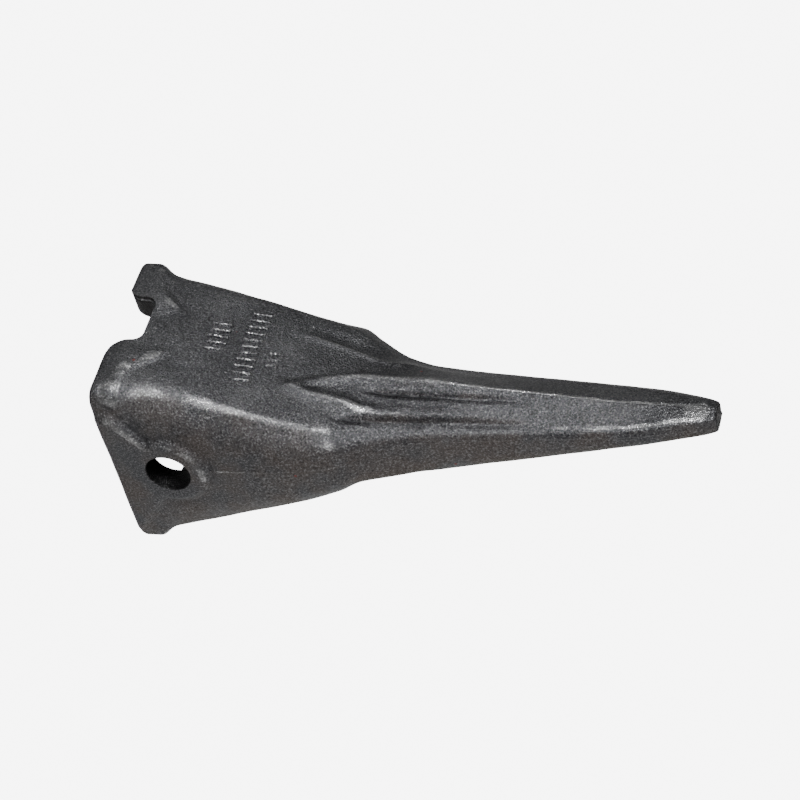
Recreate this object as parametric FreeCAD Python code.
import FreeCAD, Part
import math
import os

from FreeCAD import Vector

# Rock-chisel tooth for a large excavator bucket, with its cross pin and retaining ring.
# Frame: origin on the axis of the two pin bores, midway between them. +X runs to the tip,
# +Y to the side wall that holds the retaining ring, +Z to the top face. All sizes in mm.

# ---- driving dimensions ----
REAR_X = -44.0            # open rear face of the socket
TIP_X = 410.0             # end face of the nose
BAND_END_X = -31.0        # the raised band round the mouth ends here
HALF_WIDTH = 73.5         # side walls, outside
BORE_DIAMETER = 35.0
BOSS_FACE_Y = 78.0        # outer faces of the two side bosses
BOSS_RADIUS = 30.5
BOSS_EDGE = 2.5           # how far the boss's edge is bevelled

SOCKET_END_X = 112.0      # blind front end of the socket
SOCKET_REAR_HALF = (61.0, 64.0)    # half width and half height at the mouth
SOCKET_FRONT_HALF = (50.0, 11.0)   # the same at the blind end
SOCKET_CORNER_RADIUS = 8.0

NOTCH_DEPTH = 22.5        # cut in the top and bottom walls at the mouth, clear of the adapter
NOTCH_WIDTH = 40.0
NOTCH_OFFSET_Y = 9.0      # off centre, the other way on the bottom
NOTCH_ROOT_RADIUS = 7.0
NOTCH_MOUTH_FLARE = 8.0

RING_OUTSIDE_RADIUS = 26.0
RING_GAP = 7.0
RING_WIDTH = 7.0
RING_SEAT_Y = 67.0        # floor of the recess in the wall's inner face
RING_SEAT_CLEARANCE = 0.4
RING_BORE_CLEARANCE = 0.35

PIN_DIAMETER = 33.5
PIN_LENGTH = 140.0
PIN_CHAMFER = 2.5
PIN_GROOVE_DEPTH = 1.6
PIN_GROOVE_WIDTH = 7.6
PIN_START_Y = 30.0        # the pin stands this far out of its locked place

# ---- the forging's outer form ----
# One row per station along X: half width at the sides; the top shoulder's half width and
# height; the crest's height; the lower edge's half width and height; the keel's height.
STATIONS = (
    (REAR_X, HALF_WIDTH, 72.5, 78.8, 79.0, 73.0, -80.5, -80.0),
    (BAND_END_X, HALF_WIDTH, 72.0, 78.8, 79.0, 73.0, -80.5, -80.0),
    (-16.0, HALF_WIDTH, 63.0, 76.0, 77.0, 68.0, -75.5, -76.0),
    (0.0, HALF_WIDTH, 59.0, 72.5, 74.0, 67.0, -71.0, -72.0),
    (20.0, HALF_WIDTH, 58.0, 66.5, 68.0, 66.0, -65.5, -66.5),
    (50.0, HALF_WIDTH, 58.5, 55.0, 56.5, 64.0, -57.0, -58.0),
    (90.0, 71.5, 57.0, 39.0, 42.5, 62.0, -46.0, -47.5),
    (125.0, 66.5, 53.0, 27.5, 34.5, 56.0, -36.5, -38.5),
    (141.0, 57.0, 47.0, 20.0, 32.0, 51.0, -32.0, -35.0),
    (166.0, 44.0, 35.5, 11.5, 29.5, 42.5, -34.0, -36.5),
    (190.0, 37.5, 31.0, 9.0, 29.0, 35.5, -34.5, -37.0),
    (240.0, 32.5, 27.5, 7.5, 23.5, 28.5, -30.0, -32.0),
    (288.0, 28.5, 24.5, 7.5, 18.3, 26.0, -22.0, -24.0),
    (346.0, 23.5, 20.0, 6.0, 12.0, 22.0, -13.0, -14.0),
    (379.0, 17.0, 13.0, 7.8, 10.6, 16.5, -10.0, -10.5),
    (402.0, 11.5, 8.0, 7.4, 9.4, 11.0, -8.5, -8.8),
    (TIP_X, 9.5, 6.3, 6.6, 8.4, 8.5, -7.5, -7.8),
)
SECTION_SPACING = 13.0    # between neighbouring sections of the loft
CORNER_STEPS = 3          # points round each rounded corner of a section


def tangents(places, values):
    """Slopes of a curve that never overshoots its stations: the harmonic mean of the slopes on
    both sides, and zero where they differ in sign."""
    slopes = [
        (values[i + 1] - values[i]) / (places[i + 1] - places[i]) for i in range(len(places) - 1)
    ]
    middle = [
        2.0 * a * b / (a + b) if a * b > 0.0 else 0.0 for a, b in zip(slopes, slopes[1:])
    ]
    return [slopes[0], *middle, slopes[-1]]


def along(x, places, values, ends):
    """The value at x of the smooth curve through the stations."""
    i = max(k for k in range(len(places) - 1) if places[k] <= x + 1e-9)
    span = places[i + 1] - places[i]
    t = (x - places[i]) / span
    rise = (1 + 2 * t) * (1 - t) ** 2 * values[i] + t * t * (3 - 2 * t) * values[i + 1]
    return rise + span * (t * (1 - t) ** 2 * ends[i] + t * t * (t - 1) * ends[i + 1])


PLACES = [row[0] for row in STATIONS]
COLUMNS = [[row[k] for row in STATIONS] for k in range(1, 8)]
SLOPES = [tangents(PLACES, column) for column in COLUMNS]


def rounded_outline(corners, radius):
    """Points round a closed polygon whose corners are rounded by short parabolas."""
    points = []
    for i, corner in enumerate(corners):
        before, after = corners[i - 1], corners[(i + 1) % len(corners)]
        arms = []
        for other in (before, after):
            reach = math.dist(corner, other)
            cut = min(radius, 0.45 * reach) / reach
            arms.append([c + (o - c) * cut for c, o in zip(corner, other)])
        for step in range(CORNER_STEPS):
            t = step / (CORNER_STEPS - 1)
            weights = ((1 - t) ** 2, 2 * t * (1 - t), t * t)
            points.append(
                [sum(w * p[k] for w, p in zip(weights, (arms[0], corner, arms[1]))) for k in (0, 1)]
            )
    return points


def forging_corners(x):
    """The section's corners at x, as (y, z), right round from the +Y side over the top."""
    width, top_y, top_z, crest, low_y, low_z, keel = (
        along(x, PLACES, column, slopes) for column, slopes in zip(COLUMNS, SLOPES)
    )
    side_top = 0.72 * top_z - 0.03 * width
    side_low = 0.72 * low_z + 0.03 * width
    facet_y, facet_z = 0.62 * top_y, top_z + 0.62 * (crest - top_z)
    upper = [(width, side_top), (top_y, top_z), (facet_y, facet_z), (0.0, crest)]
    lower = [(-width, side_low), (-low_y, low_z), (-0.5 * low_y, 0.5 * (low_z + keel)), (0.0, keel)]
    upper += [(-y, z) for y, z in reversed(upper[:-1])]
    lower += [(-y, z) for y, z in reversed(lower[:-1])]
    return upper + lower


def forging_section(x):
    """A closed smooth wire in the plane at x."""
    corners = forging_corners(x)
    half_height = 0.5 * (max(z for _, z in corners) - min(z for _, z in corners))
    outline = rounded_outline(corners, 4.0 + 0.13 * half_height)
    curve = Part.BSplineCurve()
    curve.interpolate(Points=[Vector(x, y, z) for y, z in outline], PeriodicFlag=True)
    return Part.Wire(curve.toShape())


def rounded_rectangle(x, half_width, half_height, radius):
    """A wire in the plane at x: straight sides joined by quarter circles."""
    y, z = half_width - radius, half_height - radius
    edges = []
    for k, (cy, cz) in enumerate(((y, z), (-y, z), (-y, -z), (y, -z))):
        angles = [math.pi / 2 * k + math.pi / 4 * step for step in range(3)]
        a, b, c = (Vector(x, cy + radius * math.cos(t), cz + radius * math.sin(t)) for t in angles)
        edges.append(Part.Arc(a, b, c).toShape())
    joined = []
    for k, arc in enumerate(edges):
        following = edges[(k + 1) % 4]
        joined.append(arc)
        joined.append(Part.makeLine(arc.lastVertex(True).Point, following.firstVertex(True).Point))
    return Part.Wire(joined)


def cylinder(radius, y_low, y_high):
    """A solid cylinder about the bores' axis."""
    return Part.makeCylinder(radius, y_high - y_low, Vector(0, y_low, 0), Vector(0, 1, 0))


def side_boss(side):
    """Round pad on one side wall, bevelled at its outer edge."""
    inner = HALF_WIDTH - 6.0
    straight = BOSS_FACE_Y - BOSS_EDGE - inner
    pad = Part.makeCylinder(BOSS_RADIUS, straight, Vector(0, side * inner, 0), Vector(0, side, 0))
    bevel = Part.makeCone(
        BOSS_RADIUS,
        BOSS_RADIUS - 2.0 * BOSS_EDGE,
        BOSS_EDGE,
        Vector(0, side * (BOSS_FACE_Y - BOSS_EDGE), 0),
        Vector(0, side, 0),
    )
    return pad.fuse(bevel)


def socket_space():
    """The tapered pocket for the adapter's nose, carried out through the rear face."""
    run_out = 10.0
    taper = [
        (rear - front) / (SOCKET_END_X - REAR_X)
        for rear, front in zip(SOCKET_REAR_HALF, SOCKET_FRONT_HALF)
    ]
    mouth = [half + run_out * slope for half, slope in zip(SOCKET_REAR_HALF, taper)]
    return Part.makeLoft(
        [
            rounded_rectangle(REAR_X - run_out, *mouth, SOCKET_CORNER_RADIUS),
            rounded_rectangle(SOCKET_END_X, *SOCKET_FRONT_HALF, SOCKET_CORNER_RADIUS),
        ],
        True,
        True,
    )


def mouth_notch(side):
    """Flared U-shaped notch through the top (side +1) or bottom (-1) wall, open to the rear."""
    half = NOTCH_WIDTH / 2
    root_x = REAR_X + NOTCH_DEPTH
    centre = side * NOTCH_OFFSET_Y
    r = NOTCH_ROOT_RADIUS
    bend = r * (1 - math.sqrt(0.5))
    flare_x = REAR_X + NOTCH_MOUTH_FLARE
    wide = half + NOTCH_MOUTH_FLARE
    out_x = REAR_X - 5.0

    def at(x, y):
        return Vector(x, centre + y, 0)

    edges = [
        Part.makeLine(at(out_x, -wide), at(REAR_X, -wide)),
        Part.Arc(
            at(REAR_X, -wide),
            at(REAR_X + 0.3 * NOTCH_MOUTH_FLARE, -half - 0.3 * NOTCH_MOUTH_FLARE),
            at(flare_x, -half),
        ).toShape(),
        Part.makeLine(at(flare_x, -half), at(root_x - r, -half)),
        Part.Arc(
            at(root_x - r, -half), at(root_x - bend, -half + bend), at(root_x, -half + r)
        ).toShape(),
        Part.makeLine(at(root_x, -half + r), at(root_x, half - r)),
        Part.Arc(
            at(root_x, half - r), at(root_x - bend, half - bend), at(root_x - r, half)
        ).toShape(),
        Part.makeLine(at(root_x - r, half), at(flare_x, half)),
        Part.Arc(
            at(flare_x, half),
            at(REAR_X + 0.3 * NOTCH_MOUTH_FLARE, half + 0.3 * NOTCH_MOUTH_FLARE),
            at(REAR_X, wide),
        ).toShape(),
        Part.makeLine(at(REAR_X, wide), at(out_x, wide)),
        Part.makeLine(at(out_x, wide), at(out_x, -wide)),
    ]
    return Part.Face(Part.Wire(edges)).extrude(Vector(0, 0, side * 95.0))


def tooth_forging():
    """Socket body, bosses, neck and nose in one forging, with its pocket and bores."""
    count = round((TIP_X - BAND_END_X) / SECTION_SPACING)
    places = [REAR_X, 0.5 * (REAR_X + BAND_END_X), BAND_END_X, -23.5, -16.0, -8.0, 0.0]
    places += [TIP_X - SECTION_SPACING * k for k in range(count - 3, -1, -1)]
    body = Part.makeLoft([forging_section(x) for x in places], True, False)
    for side in (1, -1):
        body = body.fuse(side_boss(side))
    body = body.cut(socket_space())
    body = body.cut(cylinder(BORE_DIAMETER / 2, -BOSS_FACE_Y - 1, BOSS_FACE_Y + 1))
    seat_radius = RING_OUTSIDE_RADIUS + RING_SEAT_CLEARANCE
    body = body.cut(cylinder(seat_radius, 0.0, RING_SEAT_Y))
    for side in (1, -1):
        body = body.cut(mouth_notch(side))
    return body


def retainer_ring():
    """Flat split ring that lies on the floor of its recess."""
    inside = PIN_DIAMETER / 2 + RING_BORE_CLEARANCE
    low = RING_SEAT_Y - RING_WIDTH
    ring = cylinder(RING_OUTSIDE_RADIUS, low, RING_SEAT_Y).cut(
        cylinder(inside, low - 1, RING_SEAT_Y + 1)
    )
    split = Part.makeBox(
        RING_OUTSIDE_RADIUS + 2, RING_WIDTH + 2, RING_GAP, Vector(0, low - 1, -RING_GAP / 2)
    )
    return ring.cut(split)


def lock_pin():
    """Chamfered round pin with the ring's groove, standing PIN_START_Y out of its locked place."""
    low = PIN_START_Y - PIN_LENGTH / 2
    high = PIN_START_Y + PIN_LENGTH / 2
    radius = PIN_DIAMETER / 2
    root = radius - PIN_GROOVE_DEPTH
    groove_y = PIN_START_Y + RING_SEAT_Y - RING_WIDTH / 2
    half_groove = PIN_GROOVE_WIDTH / 2
    profile = [
        (0.0, low),
        (radius - PIN_CHAMFER, low),
        (radius, low + PIN_CHAMFER),
        (radius, groove_y - half_groove - PIN_GROOVE_DEPTH),
        (root, groove_y - half_groove),
        (root, groove_y + half_groove),
        (radius, groove_y + half_groove + PIN_GROOVE_DEPTH),
        (radius, high - PIN_CHAMFER),
        (radius - PIN_CHAMFER, high),
        (0.0, high),
        (0.0, low),
    ]
    face = Part.Face(Part.makePolygon([Vector(r, y, 0) for r, y in profile]))
    return face.revolve(Vector(0, 0, 0), Vector(0, 1, 0), 360)


def main():
    os.makedirs("parts", exist_ok=True)
    nodes = {
        "tooth_forging": tooth_forging(),
        "lock_pin": lock_pin(),
        "retainer_ring": retainer_ring(),
    }
    for name, shape in nodes.items():
        solid = shape.Solids[0] if len(shape.Solids) == 1 else shape
        box = solid.BoundBox
        print(
            f"{name}: {len(shape.Solids)} solid, valid {solid.isValid()}, "
            f"{solid.Volume / 1000:.0f} cm3, {solid.Volume * 7.85e-6:.2f} kg, "
            f"{box.XLength:.1f} x {box.YLength:.1f} x {box.ZLength:.1f} mm"
        )
        solid.exportStep(f"parts/{name}.step")


main()
